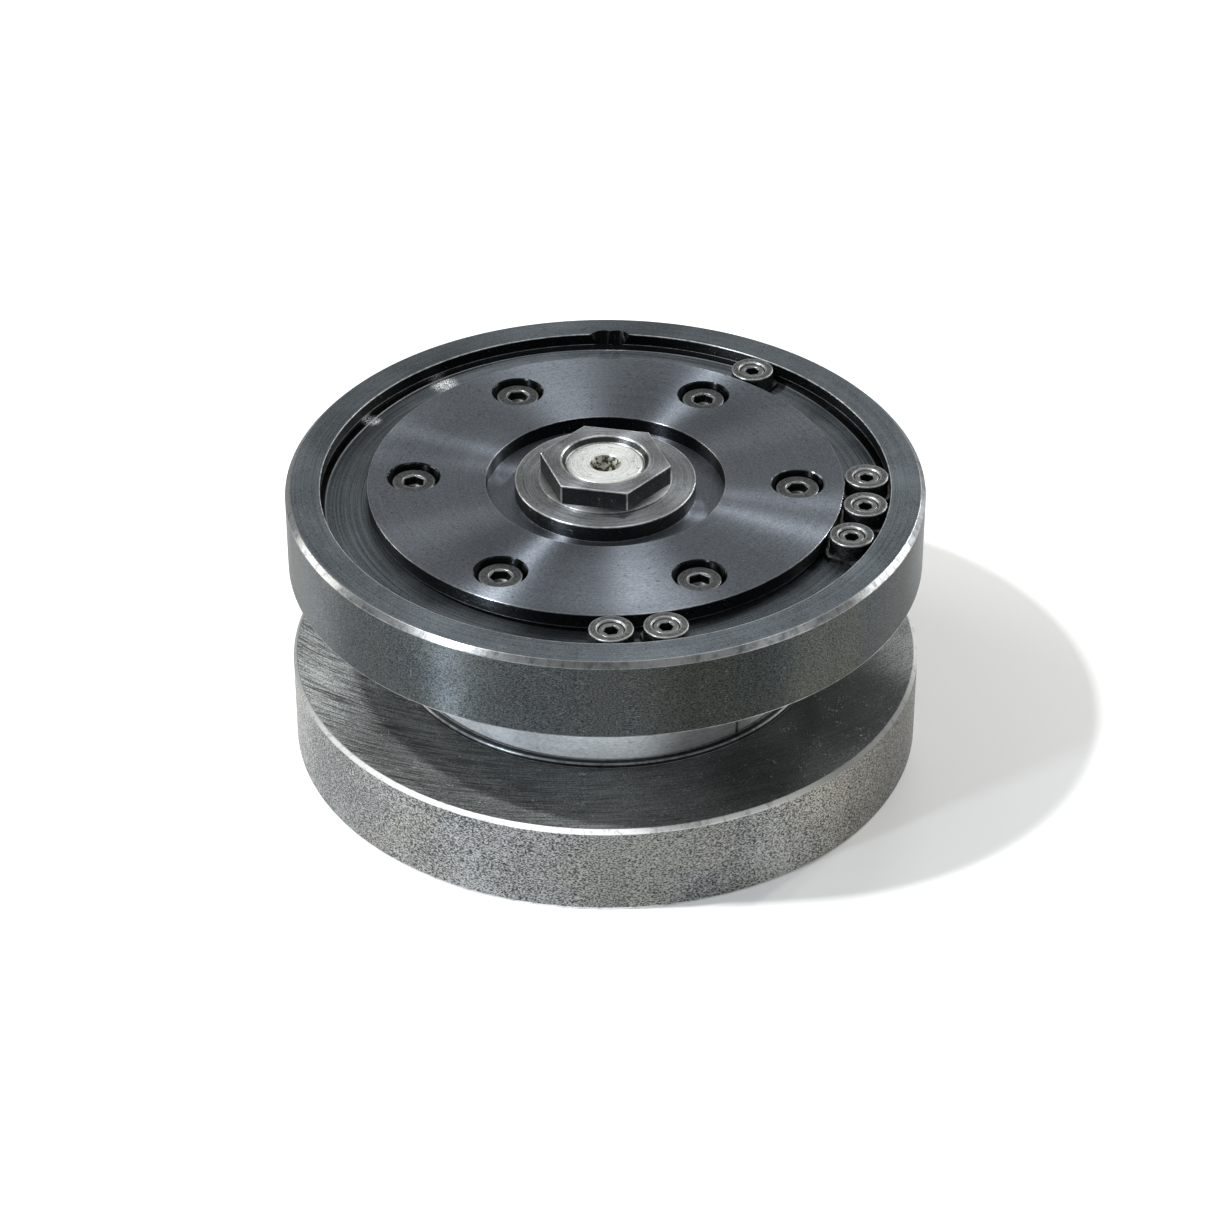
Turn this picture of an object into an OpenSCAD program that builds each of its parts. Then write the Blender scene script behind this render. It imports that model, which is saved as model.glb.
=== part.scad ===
// Heavy steel banding wheel: a balanced wheel head that turns on a spindle and two ball
// bearings in a round base. Six weights slide in a groove round the top of the head, and
// each is locked by its own set screw. Origin: middle of the underside. +Z points up.

/* [Base] */
// Radius of the round base
base_r = 100; // [96:1:130]
// Thickness of the base
base_t = 30; // [30:0.5:34]
// Chamfer round the top edge of the base
base_chamfer = 1; // [0.4:0.2:3]
// Open height between the base and the wheel head
gap_h = 35; // [34:0.5:36]

/* [Wheel head] */
// Radius of the wheel head
head_r = 100; // [97:1:130]
// Thickness of the wheel head
head_t = 26.5; // [26.5:0.5:32]
// Chamfer round the top edge of the wheel head
head_chamfer = 1.5; // [0.5:0.25:3]
// Radius of the bright hub under the wheel head
hub_r = 64.8; // [64:0.1:65]
// How far the clamp plate lies below the rim
plate_drop = 0.2; // [0.1:0.1:0.5]

/* [Balance groove] */
// Radius of the circle that the balance weights run on
groove_mid_r = 81.75; // [81.5:0.05:82]
// Width of the groove's mouth
mouth_w = 14.6; // [14.2:0.1:15]
// Depth of the groove below the rim
groove_depth = 6.5; // [6.4:0.1:7]
// Thickness of the rim's lip over the groove
rim_lip_t = 4.1; // [3.6:0.1:4.2]
// Thickness of the clamp plate's lip over the groove
plate_lip_t = 4.7; // [4.2:0.1:4.7]

/* [Balance weights] */
// Diameter of a weight above its foot
weight_d = 13.5; // [12.5:0.1:13.6]
// Diameter of the foot that the two lips hold down
foot_d = 16.8; // [16.2:0.1:17]
// Width of the foot along the groove
foot_w = 13.6; // [13.5:0.1:13.8]
// Height of a weight
weight_h = 6.6; // [6:0.1:7.5]
// Where each weight stands, anticlockwise from +X, in degrees
weight_angles = [54.1, 1.3, -10.2, -22.8, -77.3, -88.8];

/* [Clamp plate] */
// Radius of the recess round the spindle nut
recess_r = 37.4; // [34:0.1:40]
// Depth of the recess round the spindle nut
recess_depth = 4.8; // [4:0.1:6]
// Radius of the circle that the clamp screws stand on
clamp_pcr = 60; // [59:0.5:61]
// Angle of the first clamp screw, anticlockwise from +X
clamp_angle = -1.8; // [-30:0.1:30]
// How far the screw heads lie below the plate
head_recess = 1.7; // [1:0.1:2]

/* [Spindle nut] */
// Width across the flats of the hexagon
nut_af = 36; // [34:0.5:38]
// Radius of the nut's flange
nut_flange_r = 28.3; // [26:0.1:30]
// Total height of the nut
nut_h = 12.5; // [11:0.1:14]
// Angle of one corner of the hexagon, anticlockwise from +X
nut_angle = 48.9; // [0:0.1:60]

/* [Hidden] */
$fn = 96;
eps = 0.01;                 // overrun of a cutter past the face it opens
slip = 0.05;                // radial clearance of a fit

// Heights up the axis
base_z1 = base_t;
head_z0 = base_z1 + gap_h;
head_z1 = head_z0 + head_t;
plate_z1 = head_z1 - plate_drop;
floor_z = head_z1 - groove_depth;
web_z = head_z0 + 10.5;     // top of the web that the clamp plate lies on
recess_z = plate_z1 - recess_depth;
pocket_z = base_z1 - 4;     // floor of the pocket in the top of the base
pocket_r = 68;
corner = 0.3;               // small chamfer where a corner looks sharp

// Ball bearings, 30 x 62 x 16
brg_bore_r = 15;
brg_outer_r = 31;
brg_w = 16;
ball_r = 4.76;
ball_pitch_r = 23;
ball_count = 9;
ball_gap = 0.15;            // clearance between a ball and its races and cage
inner_race_r = 20.15;
outer_race_r = 25.85;
lower_brg_z = 14;
spacer_h = 10;
upper_brg_z = lower_brg_z + brg_w + spacer_h;
brg_top_z = upper_brg_z + brg_w;

// Bearing housing and its cap
housing_r = 38;
housing_flange_r = 50;
housing_flange_t = 8;
housing_lip_r = 26.5;
housing_screw_pcr = 44;
cap_t = 3;
cap_screw_pcr = 34.5;
cap_z = brg_top_z + 1;

// Bottom cover
cover_r = 45;
cover_inset = 0.5;
cover_t = 4;
cover_screw_pcr = 41.5;
cover_screw_d = 4;
shelf_z = cover_inset + cover_t;

// Spindle
collar_r = 22;
taper_z = cap_z + cap_t;
taper_r = 19.5;
taper_slope = 0.1;          // radius lost for each millimetre of height
thread_r = 12;
spindle_z0 = 6;
spindle_z1 = plate_z1 + 6.3;
function taper_at(z) = taper_r - taper_slope * (z - taper_z);

// Hub
skirt_r = 52;
skirt_z = pocket_z + 2.2;
spigot_r = 50;
slot_w = 1.2;
slot_h = 8;
slot_depth = 1;
slot_angle = -51;
hub_z1 = web_z - 0.2;

// Groove
mouth_r0 = groove_mid_r - mouth_w / 2;
mouth_r1 = groove_mid_r + mouth_w / 2;
undercut_r0 = mouth_r0 - 1.8;
undercut_r1 = mouth_r1 + 1.2;
plate_body_r = 71;
notch_angle = 89;
bite_r = 8.6;               // round bite in the clamp plate's lip
plunge_r = 5;               // each of the two slanting cuts in the rim's lip
plunge_offset = 2.05;
plunge_tilt = 29;
plunge_reach_r = 91.5;      // how far out the cuts reach at the top of the rim
scribe_w = 0.5;
scribe_depth = 0.15;
counterbore_r = 8.05;       // round the heads of the clamp screws
weight_rises = [0.1, 0, 0.1, 0.2, 0, 0.1];   // how much each weight stands above the lowest

// Screws, close to the standard metric sizes
clamp_screw = [8, 13.6, 8, 6, 16];   // thread, head, head height, socket, length
housing_screw = [6, 10, 6, 5, 20];
cap_screw = [4, 7, 2.8, 2.5, 10];
set_screw_d = 8;
set_screw_len = 6;
set_screw_socket = 4;
clamp_head_z = plate_z1 - head_recess;
clamp_seat_z = clamp_head_z - clamp_screw[2];

// A ring by its radii and heights
module ring(r0, r1, z0, z1) {
    rotate_extrude() polygon([[r0, z0], [r1, z0], [r1, z1], [r0, z1]]);
}

// Copies of a piece at equal steps round the axis
module around(count, radius, first = 0) {
    for (k = [0:count - 1]) rotate(first + 360 * k / count) translate([radius, 0, 0]) children();
}

// A round hole from z0 to z1
module hole(r, z0, z1) {
    translate([0, 0, z0]) cylinder(r = r, h = z1 - z0);
}

// A hexagonal socket that opens at z = 0 and goes down
module hex_socket(af, depth) {
    translate([0, 0, -depth]) cylinder(r = af / sqrt(3), h = depth + eps, $fn = 6);
    translate([0, 0, -depth - af * 0.2]) cylinder(r1 = 0, r2 = af * 0.48, h = af * 0.2 + eps);
    translate([0, 0, -0.4]) cylinder(r1 = af / 2, r2 = af / 2 + 0.7, h = 0.4 + eps);
}

// A socket cap screw whose head stands on z = 0
module cap_head_screw(size) {
    edge = 0.5;
    difference() {
        rotate_extrude() polygon([
            [0, -size[4]], [size[0] / 2 - edge, -size[4]], [size[0] / 2, -size[4] + edge],
            [size[0] / 2, 0], [size[1] / 2, 0], [size[1] / 2, size[2] - edge],
            [size[1] / 2 - edge, size[2]], [0, size[2]]
        ]);
        translate([0, 0, size[2]]) hex_socket(size[3], size[2] * 0.36);
    }
}

// Base

module base_disc() {
    foot = base_chamfer / 2;
    color("#9a9a98") difference() {
        rotate_extrude() polygon([
            [0, 0], [base_r - foot, 0], [base_r, foot], [base_r, base_z1 - base_chamfer],
            [base_r - base_chamfer, base_z1], [0, base_z1]
        ]);
        hole(pocket_r, pocket_z, base_z1 + eps);
        hole(housing_r + slip, -eps, base_z1);
        hole(cover_r + slip, -eps, shelf_z);
        around(6, housing_screw_pcr) hole(housing_screw[0] / 2 + slip, pocket_z - 13, base_z1);
        around(4, cover_screw_pcr, 45) hole(cover_screw_d / 2 + 0.1, 0, 12);
    }
}

// A thin ring in the pocket, close round the foot of the hub
module dust_ring() {
    inner_r = 65.4;
    outer_r = pocket_r - slip;
    top = base_z1 + 1.3;
    color("#6c6e70") rotate_extrude() polygon([
        [inner_r, pocket_z], [outer_r, pocket_z], [outer_r, top - corner], [outer_r - corner, top],
        [inner_r + corner, top], [inner_r, top - corner]
    ]);
}

module bearing_housing() {
    bottom = shelf_z + 0.2;
    flange_top = pocket_z + housing_flange_t;
    color("#5c5f62") difference() {
        rotate_extrude() polygon([
            [housing_lip_r, bottom], [housing_r, bottom], [housing_r, pocket_z],
            [housing_flange_r, pocket_z], [housing_flange_r, flange_top - 1],
            [housing_flange_r - 1, flange_top], [housing_r, flange_top], [housing_r, cap_z],
            [brg_outer_r + slip, cap_z], [brg_outer_r + slip, lower_brg_z], [housing_lip_r, lower_brg_z]
        ]);
        around(6, housing_screw_pcr) hole(3.3, pocket_z - eps, flange_top + eps);
        around(6, cap_screw_pcr, 30) hole(cap_screw[0] / 2 + slip, cap_z - 10, cap_z + eps);
    }
}

module housing_screws() {
    color("#4a4b4e") around(6, housing_screw_pcr)
        translate([0, 0, pocket_z + housing_flange_t]) cap_head_screw(housing_screw);
}

module bearing_cap() {
    color("#85878a") difference() {
        rotate_extrude() polygon([
            [27, brg_top_z], [brg_outer_r - slip, brg_top_z], [brg_outer_r - slip, cap_z],
            [housing_r, cap_z], [housing_r, taper_z - 0.5], [housing_r - 0.5, taper_z],
            [collar_r + 0.4, taper_z], [collar_r + 0.4, cap_z + 0.5], [27, cap_z + 0.5]
        ]);
        around(6, cap_screw_pcr, 30) hole(2.25, cap_z - eps, taper_z + eps);
    }
}

module cap_screws() {
    color("#4a4b4e") around(6, cap_screw_pcr, 30)
        translate([0, 0, taper_z]) cap_head_screw(cap_screw);
}

// A flat cover in the underside, with four countersunk screws
module bottom_cover() {
    color("#85878a") difference() {
        hole(cover_r, cover_inset, shelf_z);
        around(4, cover_screw_pcr, 45) {
            hole(2.25, cover_inset - eps, shelf_z + eps);
            translate([0, 0, cover_inset - eps]) cylinder(r1 = 4.25, r2 = 2.25, h = 2.2);
        }
    }
}

module cover_screws() {
    sink = cover_inset + 0.2;
    r = cover_screw_d / 2;
    color("#4a4b4e") around(4, cover_screw_pcr, 45) difference() {
        rotate_extrude() polygon([
            [0, sink], [3.8, sink], [3.8, sink + 0.2], [r, sink + 2], [r, 11], [0, 11]
        ]);
        translate([0, 0, sink]) rotate([180, 0, 0]) hex_socket(2.5, 1.4);
    }
}

// Ball bearings

module race_groove(z) {
    translate([ball_pitch_r, z + brg_w / 2]) circle(r = ball_r + ball_gap);
}

module outer_race(z) {
    color("#c9cbcd") rotate_extrude() difference() {
        polygon([[outer_race_r, z], [brg_outer_r, z], [brg_outer_r, z + brg_w], [outer_race_r, z + brg_w]]);
        race_groove(z);
    }
}

module inner_race(z) {
    color("#c9cbcd") rotate_extrude() difference() {
        polygon([[brg_bore_r + slip, z], [inner_race_r, z], [inner_race_r, z + brg_w],
            [brg_bore_r + slip, z + brg_w]]);
        race_groove(z);
    }
}

module balls(z) {
    color("#dfe1e3") around(ball_count, ball_pitch_r) translate([0, 0, z + brg_w / 2]) sphere(r = ball_r);
}

module ball_cage(z) {
    mid = z + brg_w / 2;
    color("#b08d4a") difference() {
        ring(21.5, 24.5, mid - 6, mid + 6);
        around(ball_count, ball_pitch_r) translate([0, 0, mid]) sphere(r = ball_r + ball_gap);
    }
}

module outer_spacer() {
    color("#8e9092") ring(27, brg_outer_r - slip, lower_brg_z + brg_w, upper_brg_z);
}

module inner_spacer() {
    color("#8e9092") ring(brg_bore_r + slip, 19.5, lower_brg_z + brg_w, upper_brg_z);
}

// A tab washer and a slotted nut that hold the spindle in the bearings
module lock_washer() {
    color("#a5a7a9") difference() {
        union() {
            ring(brg_bore_r + slip, 20, lower_brg_z - 1, lower_brg_z);
            for (k = [0:8]) rotate(40 * k)
                translate([19.5, -1.75, lower_brg_z - 1]) cube([3.5, 3.5, 1]);
        }
        hole(brg_bore_r + slip, lower_brg_z - 2, lower_brg_z + 1);
    }
}

module lock_nut() {
    nut_r = 22.5;
    nut_z0 = spindle_z0 + 0.5;
    color("#5a5c5f") difference() {
        ring(brg_bore_r + slip, nut_r, nut_z0, lower_brg_z - 1);
        for (k = [0:3]) rotate(90 * k)
            translate([nut_r - 2.5, -2.5, nut_z0 - eps]) cube([5, 5, lower_brg_z]);
    }
}

// Wheel head

module spindle() {
    color("#c6c8ca") rotate_extrude() polygon([
        [0, spindle_z0], [brg_bore_r - 1, spindle_z0], [brg_bore_r, spindle_z0 + 1],
        [brg_bore_r, brg_top_z], [18, brg_top_z], [18, cap_z + 0.5], [collar_r, cap_z + 0.5],
        [collar_r, taper_z], [taper_r, taper_z], [taper_at(web_z - 1), web_z - 1],
        [thread_r, web_z - 1], [thread_r, spindle_z1 - 0.8], [thread_r - 0.8, spindle_z1],
        [4.85, spindle_z1], [1.6, spindle_z1 - 5.6], [1.6, spindle_z1 - 9], [0, spindle_z1 - 9]
    ]);
}

// A drum round the bearings, with a short slot in its skirt
module hub() {
    boss_z = taper_z + 1;
    color("#d0d1d2") difference() {
        rotate_extrude() polygon([
            [skirt_r, skirt_z], [hub_r - 0.5, skirt_z], [hub_r, skirt_z + 0.5], [hub_r, head_z0],
            [spigot_r, head_z0], [spigot_r, hub_z1 - 0.5], [spigot_r - 0.5, hub_z1],
            [taper_at(hub_z1) + slip, hub_z1], [taper_at(boss_z) + slip, boss_z], [27, boss_z],
            [27, head_z0 - 1], [40, head_z0 - 1], [40, head_z0 - 3], [skirt_r, head_z0 - 11]
        ]);
        rotate(slot_angle) translate([hub_r - slot_depth, -slot_w / 2, skirt_z - eps])
            cube([2 * slot_depth, slot_w, slot_h]);
    }
}

// The gap in the rim's lip where a weight is tilted in: two overlapping cuts that slant
// inwards, and a scribed line on the groove's floor
module loading_notch() {
    mid_r = plunge_reach_r - plunge_r / cos(plunge_tilt);
    rotate(notch_angle) {
        for (side = [-1, 1]) translate([mid_r, side * plunge_offset, head_z1])
            rotate([0, plunge_tilt, 0]) hole(plunge_r, -4.8, 8);
        translate([mouth_r1 - 5, -scribe_w / 2, floor_z - scribe_depth]) cube([6, scribe_w, 1]);
    }
}

module balance_flange() {
    lip_z = head_z1 - rim_lip_t;
    step_z = plate_z1 - plate_lip_t;
    color("#5d646c") difference() {
        rotate_extrude() polygon([
            [spigot_r + slip, head_z0], [head_r - corner, head_z0], [head_r, head_z0 + corner],
            [head_r, head_z1 - head_chamfer], [head_r - head_chamfer, head_z1],
            [mouth_r1 + 0.15, head_z1], [mouth_r1, head_z1 - 0.15], [mouth_r1, lip_z],
            [undercut_r1, lip_z], [undercut_r1, floor_z], [undercut_r0, floor_z],
            [undercut_r0, step_z - 0.1], [plate_body_r + slip, step_z - 0.1],
            [plate_body_r + slip, web_z], [spigot_r + slip, web_z]
        ]);
        loading_notch();
        around(6, clamp_pcr, clamp_angle) hole(clamp_screw[0] / 2 + slip, head_z0 - eps, web_z + eps);
    }
}

module clamp_plate() {
    edge = 0.4;
    lip_z = plate_z1 - plate_lip_t;
    color("#5d646c") difference() {
        rotate_extrude() polygon([
            [thread_r + 0.6, web_z], [plate_body_r - 0.5, web_z], [plate_body_r, web_z + 0.5],
            [plate_body_r, lip_z], [mouth_r0, lip_z], [mouth_r0, plate_z1 - 0.2],
            [mouth_r0 - 0.2, plate_z1], [recess_r, plate_z1], [recess_r, recess_z],
            [thread_r + 0.6, recess_z]
        ]);
        around(6, clamp_pcr, clamp_angle) {
            hole(4.5, web_z - eps, clamp_seat_z + eps);
            hole(counterbore_r, clamp_seat_z, plate_z1 + eps);
            translate([0, 0, plate_z1 - edge])
                cylinder(r1 = counterbore_r, r2 = counterbore_r + edge + eps, h = edge + eps);
        }
        rotate(notch_angle) translate([groove_mid_r, 0, 0]) hole(bite_r, floor_z, head_z1 + 1);
    }
}

module clamp_screws() {
    color("#3f4144") around(6, clamp_pcr, clamp_angle)
        translate([0, 0, clamp_seat_z]) cap_head_screw(clamp_screw);
}

// A hexagon nut with a round flange under it
module spindle_nut() {
    flange_top = recess_z + 5.6;
    nut_z1 = recess_z + nut_h;
    corner_r = nut_af / sqrt(3);
    mouth = 1.75;
    color("#54585d") difference() {
        union() {
            rotate_extrude() polygon([
                [0, recess_z], [nut_flange_r, recess_z], [nut_flange_r, flange_top - corner],
                [nut_flange_r - corner, flange_top], [corner_r + 0.15, flange_top],
                [corner_r + 0.15, flange_top + 0.6], [0, flange_top + 0.6]
            ]);
            translate([0, 0, recess_z]) rotate(nut_angle) cylinder(r = corner_r, h = nut_h, $fn = 6);
        }
        hole(thread_r + slip, recess_z - eps, nut_z1 + eps);
        translate([0, 0, nut_z1 - mouth])
            cylinder(r1 = thread_r, r2 = thread_r + mouth + eps, h = mouth + eps);
    }
}

// A weight with a foot under both lips. The foot has flats across the groove.
module balance_weight(i) {
    foot_t = plate_z1 - plate_lip_t - floor_z - 0.2;
    top = floor_z + slip + weight_h + weight_rises[i - 1];
    hole_r = set_screw_d / 2;
    edge = 0.4;
    color("#a9abac") rotate(weight_angles[i - 1]) translate([groove_mid_r, 0, 0]) difference() {
        union() {
            intersection() {
                hole(foot_d / 2, floor_z + slip, floor_z + foot_t);
                translate([-foot_d / 2, -foot_w / 2, floor_z]) cube([foot_d, foot_w, foot_t]);
            }
            rotate_extrude() polygon([
                [0, floor_z + slip], [weight_d / 2, floor_z + slip], [weight_d / 2, top - edge],
                [weight_d / 2 - edge, top], [0, top]
            ]);
        }
        hole(hole_r + slip, floor_z - eps, top + eps);
        translate([0, 0, top - edge]) cylinder(r1 = hole_r, r2 = hole_r + edge + eps, h = edge + eps);
    }
}

module set_screw(i) {
    bottom = floor_z + 0.2;
    edge = 0.4;
    r = set_screw_d / 2;
    color("#3a3c3f") rotate(weight_angles[i - 1]) translate([groove_mid_r, 0, 0]) difference() {
        rotate_extrude() polygon([
            [0, bottom], [r - edge, bottom], [r, bottom + edge], [r, bottom + set_screw_len - edge],
            [r - edge, bottom + set_screw_len], [0, bottom + set_screw_len]
        ]);
        translate([0, 0, bottom + set_screw_len]) hex_socket(set_screw_socket, 3.2);
    }
}

base_disc();
dust_ring();
bearing_housing();
housing_screws();
bearing_cap();
cap_screws();
bottom_cover();
cover_screws();
outer_race(lower_brg_z);  // lower_outer_race
inner_race(lower_brg_z);  // lower_inner_race
balls(lower_brg_z);  // lower_balls
ball_cage(lower_brg_z);  // lower_ball_cage
outer_race(upper_brg_z);  // upper_outer_race
inner_race(upper_brg_z);  // upper_inner_race
balls(upper_brg_z);  // upper_balls
ball_cage(upper_brg_z);  // upper_ball_cage
outer_spacer();
inner_spacer();
lock_washer();
lock_nut();
spindle();
hub();
balance_flange();
clamp_plate();
clamp_screws();
spindle_nut();
for (i = [1:6]) balance_weight(i);
for (i = [1:6]) set_screw(i);
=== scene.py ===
import math

import bpy
from mathutils import Matrix, Vector


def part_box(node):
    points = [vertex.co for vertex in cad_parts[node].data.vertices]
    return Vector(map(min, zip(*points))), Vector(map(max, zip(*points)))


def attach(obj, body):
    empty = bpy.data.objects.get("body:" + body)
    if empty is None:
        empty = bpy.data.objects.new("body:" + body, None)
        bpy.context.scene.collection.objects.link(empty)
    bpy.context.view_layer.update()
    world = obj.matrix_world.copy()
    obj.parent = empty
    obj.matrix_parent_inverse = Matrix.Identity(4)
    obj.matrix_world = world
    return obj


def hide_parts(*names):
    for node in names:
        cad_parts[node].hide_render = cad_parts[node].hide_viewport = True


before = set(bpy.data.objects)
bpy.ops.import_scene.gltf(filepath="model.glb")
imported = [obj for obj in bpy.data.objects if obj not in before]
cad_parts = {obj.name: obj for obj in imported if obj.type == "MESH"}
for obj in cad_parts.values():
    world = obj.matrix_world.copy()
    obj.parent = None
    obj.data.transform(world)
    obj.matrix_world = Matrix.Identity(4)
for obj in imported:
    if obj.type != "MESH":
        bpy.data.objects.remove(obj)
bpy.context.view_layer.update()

# Lengths below are in millimetres, and angles in degrees, unless a name says otherwise.
MM = 0.001
SEGMENTS = 288              # steps round a large turned piece
SMALL_SEGMENTS = 96         # steps round a screw or a weight
SHARP_ANGLE = 38            # faces that meet at more than this keep a sharp edge
ON_AXIS = 1e-6              # a point nearer the axis than this lies on it


def size_of(node):
    """Radius, lowest and highest z of a CAD node that is round about the spindle axis."""
    low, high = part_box(node)
    return high.x / MM, low.z / MM, high.z / MM


base_r, _, base_top = size_of("base_disc")
head_r, head_bottom, head_top = size_of("balance_flange")
mouth_r0, web_z, plate_top = size_of("clamp_plate")
nut_flange_r, recess_z, nut_top = size_of("spindle_nut")
ring_r, pocket_z, ring_top = size_of("dust_ring")
hub_r, skirt_z, hub_top = size_of("hub")
cover_r, _, cover_top = size_of("bottom_cover")
_, spindle_bottom, spindle_top = size_of("spindle")

# Sizes of details that a box doesn't give
BASE_CHAMFER = 1.0
HEAD_CHAMFER = 1.5
CORNER = 0.3                # small chamfer where a corner looks sharp
FIT = 0.05                  # gap between two turned faces that fit together
GROOVE_MID_R = 81.75        # middle of the balance groove
GROOVE_DEPTH = 6.5
RIM_LIP = 4.1               # how thick the rim's lip over the groove is
PLATE_LIP = 4.7             # and the clamp plate's
RECESS_R = 37.4             # recess round the nut
SPIGOT_R = 50.05            # bore of the upper disc, which centres it on the hub
PLATE_BODY_R = 71.0         # clamp plate below its lip
CLAMP_PCR = 60.0            # circle of the clamp screws
CLAMP_ANGLE = -1.8          # the first of them
THREAD_R = 12.0             # the spindle's thread in the nut
NUT_AF = 36.0               # the nut across its flats
NUT_ANGLE = 48.9
NOTCH_ANGLE = 89.0          # where a weight goes into the groove
BITE_R = 8.6                # bite in the clamp plate's edge, opposite the notch
SOCKET_TURNS = (0, 25, 10, 30, 5, 28)    # how each clamp screw happens to be turned
WEIGHT_ANGLES = (54.1, 1.3, -10.2, -22.8, -77.3, -88.8)

floor_z = head_top - GROOVE_DEPTH
mouth_r1 = 2 * GROOVE_MID_R - mouth_r0


# ---------------------------------------------------------------- shapes

def rounded(points, radius=0.18):
    """A closed outline of (r, z) or (r, z, sides) points with its outer corners rounded, as
    (r, z, wear, sides) rows. Wear is 1 on a rounded corner or a chamfer and 0 elsewhere, so that a
    material can polish the edges. Sides is 0 for a circle, or the number of sides of a polygon."""
    count = len(points)
    steps = 3                               # stretches in each rounded corner
    chamfer = 2.2                           # an edge shorter than this is worn all along
    nearly_straight = math.radians(165)
    area = outline_area(points)
    rows = []
    for i, point in enumerate(points):
        sides = point[2] if len(point) > 2 else 0
        here = Vector(point[:2])
        before = Vector(points[i - 1][:2]) - here
        after = Vector(points[(i + 1) % count][:2]) - here
        turn = before.x * after.y - before.y * after.x
        reach = min(radius, 0.3 * before.length, 0.3 * after.length)
        if here.x < ON_AXIS or turn * area > 0 or before.angle(after) > nearly_straight:
            rows.append((here.x, here.y, 0.0, sides))
            continue
        start = here + before.normalized() * reach
        end = here + after.normalized() * reach
        rows.append(faded(here, before, reach, chamfer, sides))
        for k in range(steps + 1):
            t = k / steps
            curve = (1 - t) ** 2 * start + 2 * t * (1 - t) * here + t ** 2 * end
            rows.append((curve.x, curve.y, 1.0, sides))
        rows.append(faded(here, after, reach, chamfer, sides))
    return rows


def faded(corner, edge, reach, chamfer, sides):
    """The row on an edge from a rounded corner where the corner's wear has faded."""
    fade = min(2.2 * reach, 0.45 * edge.length)
    return (*(corner + edge.normalized() * fade), float(edge.length < chamfer), sides)


def outline_area(points):
    """Twice the signed area of a closed outline, above 0 where it runs anticlockwise."""
    return sum(p[0] * q[1] - q[0] * p[1] for p, q in zip(points, points[1:] + points[:1]))


def new_piece(name, verts, faces, wear):
    """A mesh object from points in millimetres, with its wear stored on each point."""
    mesh = bpy.data.meshes.new(name)
    mesh.from_pydata([[c * MM for c in v] for v in verts], [], faces)
    mesh.attributes.new("wear", "FLOAT", "POINT").data.foreach_set("value", wear)
    piece = bpy.data.objects.new(name, mesh)
    bpy.context.scene.collection.objects.link(piece)
    return piece


def lathe(name, rows, segments=SEGMENTS, angle=0.0, worn_corners=False):
    """Turns a closed outline of (r, z, wear, sides) rows about the Z axis. A polygon row has its
    first corner at the angle, and its upright edges can be worn too."""
    verts, wear, rings = [], [], []
    corner_r = max(row[0] for row in rows if row[3]) if worn_corners else math.inf
    for r, z, worn, sides in rows:
        if r < ON_AXIS:
            rings.append([len(verts)])
            verts.append((0.0, 0.0, z))
            wear.append(worn)
            continue
        first = len(verts)
        rings.append(list(range(first, first + segments)))
        for k in range(segments):
            turn = 2 * math.pi * k / segments
            reach, corner = r, 0.0
            if sides:
                half = math.pi / sides
                off = turn % (2 * half) - half
                reach = r * math.cos(half) / math.cos(off)
                corner = 1.0 if k * sides % segments == 0 and r > corner_r - 0.1 else 0.0
            turn += math.radians(angle)
            verts.append((reach * math.cos(turn), reach * math.sin(turn), z))
            wear.append(max(worn, corner))
    faces = []
    for a, b in zip(rings, rings[1:] + rings[:1]):
        if len(a) == 1 and len(b) == 1:
            continue
        for k in range(segments):
            n = (k + 1) % segments
            corners = [a[k % len(a)], a[n % len(a)], b[n % len(b)], b[k % len(b)]]
            faces.append(list(dict.fromkeys(corners)))
    piece = new_piece(name, verts, faces, wear)
    if outline_area(rows) < 0:
        piece.data.flip_normals()
    return piece


def prism(name, outline, z0, z1, worn=()):
    """An upright prism over an anticlockwise outline of (x, y) points. Worn numbers the points
    whose upright edges are worn."""
    count = len(outline)
    verts = [(x, y, z) for z in (z0, z1) for x, y in outline]
    faces = [list(range(count))[::-1], list(range(count, 2 * count))]
    for k in range(count):
        n = (k + 1) % count
        faces.append([k, n, count + n, count + k])
    wear = [1.0 if k % count in worn else 0.0 for k in range(2 * count)]
    return new_piece(name, verts, faces, wear)


def block(name, x, y, z, worn=()):
    """A box between the lowest and highest x, y and z."""
    outline = [(x[0], y[0]), (x[1], y[0]), (x[1], y[1]), (x[0], y[1])]
    return prism(name, outline, *z, worn=worn)


def circles_outline(centres, radius, steps):
    """The outline round equal circles that all hold the point midway between them."""
    mid = sum((Vector(c) for c in centres), Vector((0, 0))) / len(centres)
    points = []
    for k in range(steps):
        turn = 2 * math.pi * (k + 0.5) / steps
        ray = Vector((math.cos(turn), math.sin(turn)))
        reach = 0.0
        for centre in centres:
            off = Vector(centre) - mid
            along = off.dot(ray)
            reach = max(reach, along + math.sqrt(along ** 2 - off.length_squared + radius ** 2))
        points.append(tuple(mid + ray * reach))
    return points


def place(piece, radius, angle, turn=0.0):
    """Stands a piece on a circle about the spindle axis, turned about its own axis."""
    around = Matrix.Rotation(math.radians(angle), 4, "Z")
    out = Matrix.Translation((radius * MM, 0, 0))
    spin = Matrix.Rotation(math.radians(turn), 4, "Z")
    piece.matrix_world = around @ out @ spin
    return piece


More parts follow.
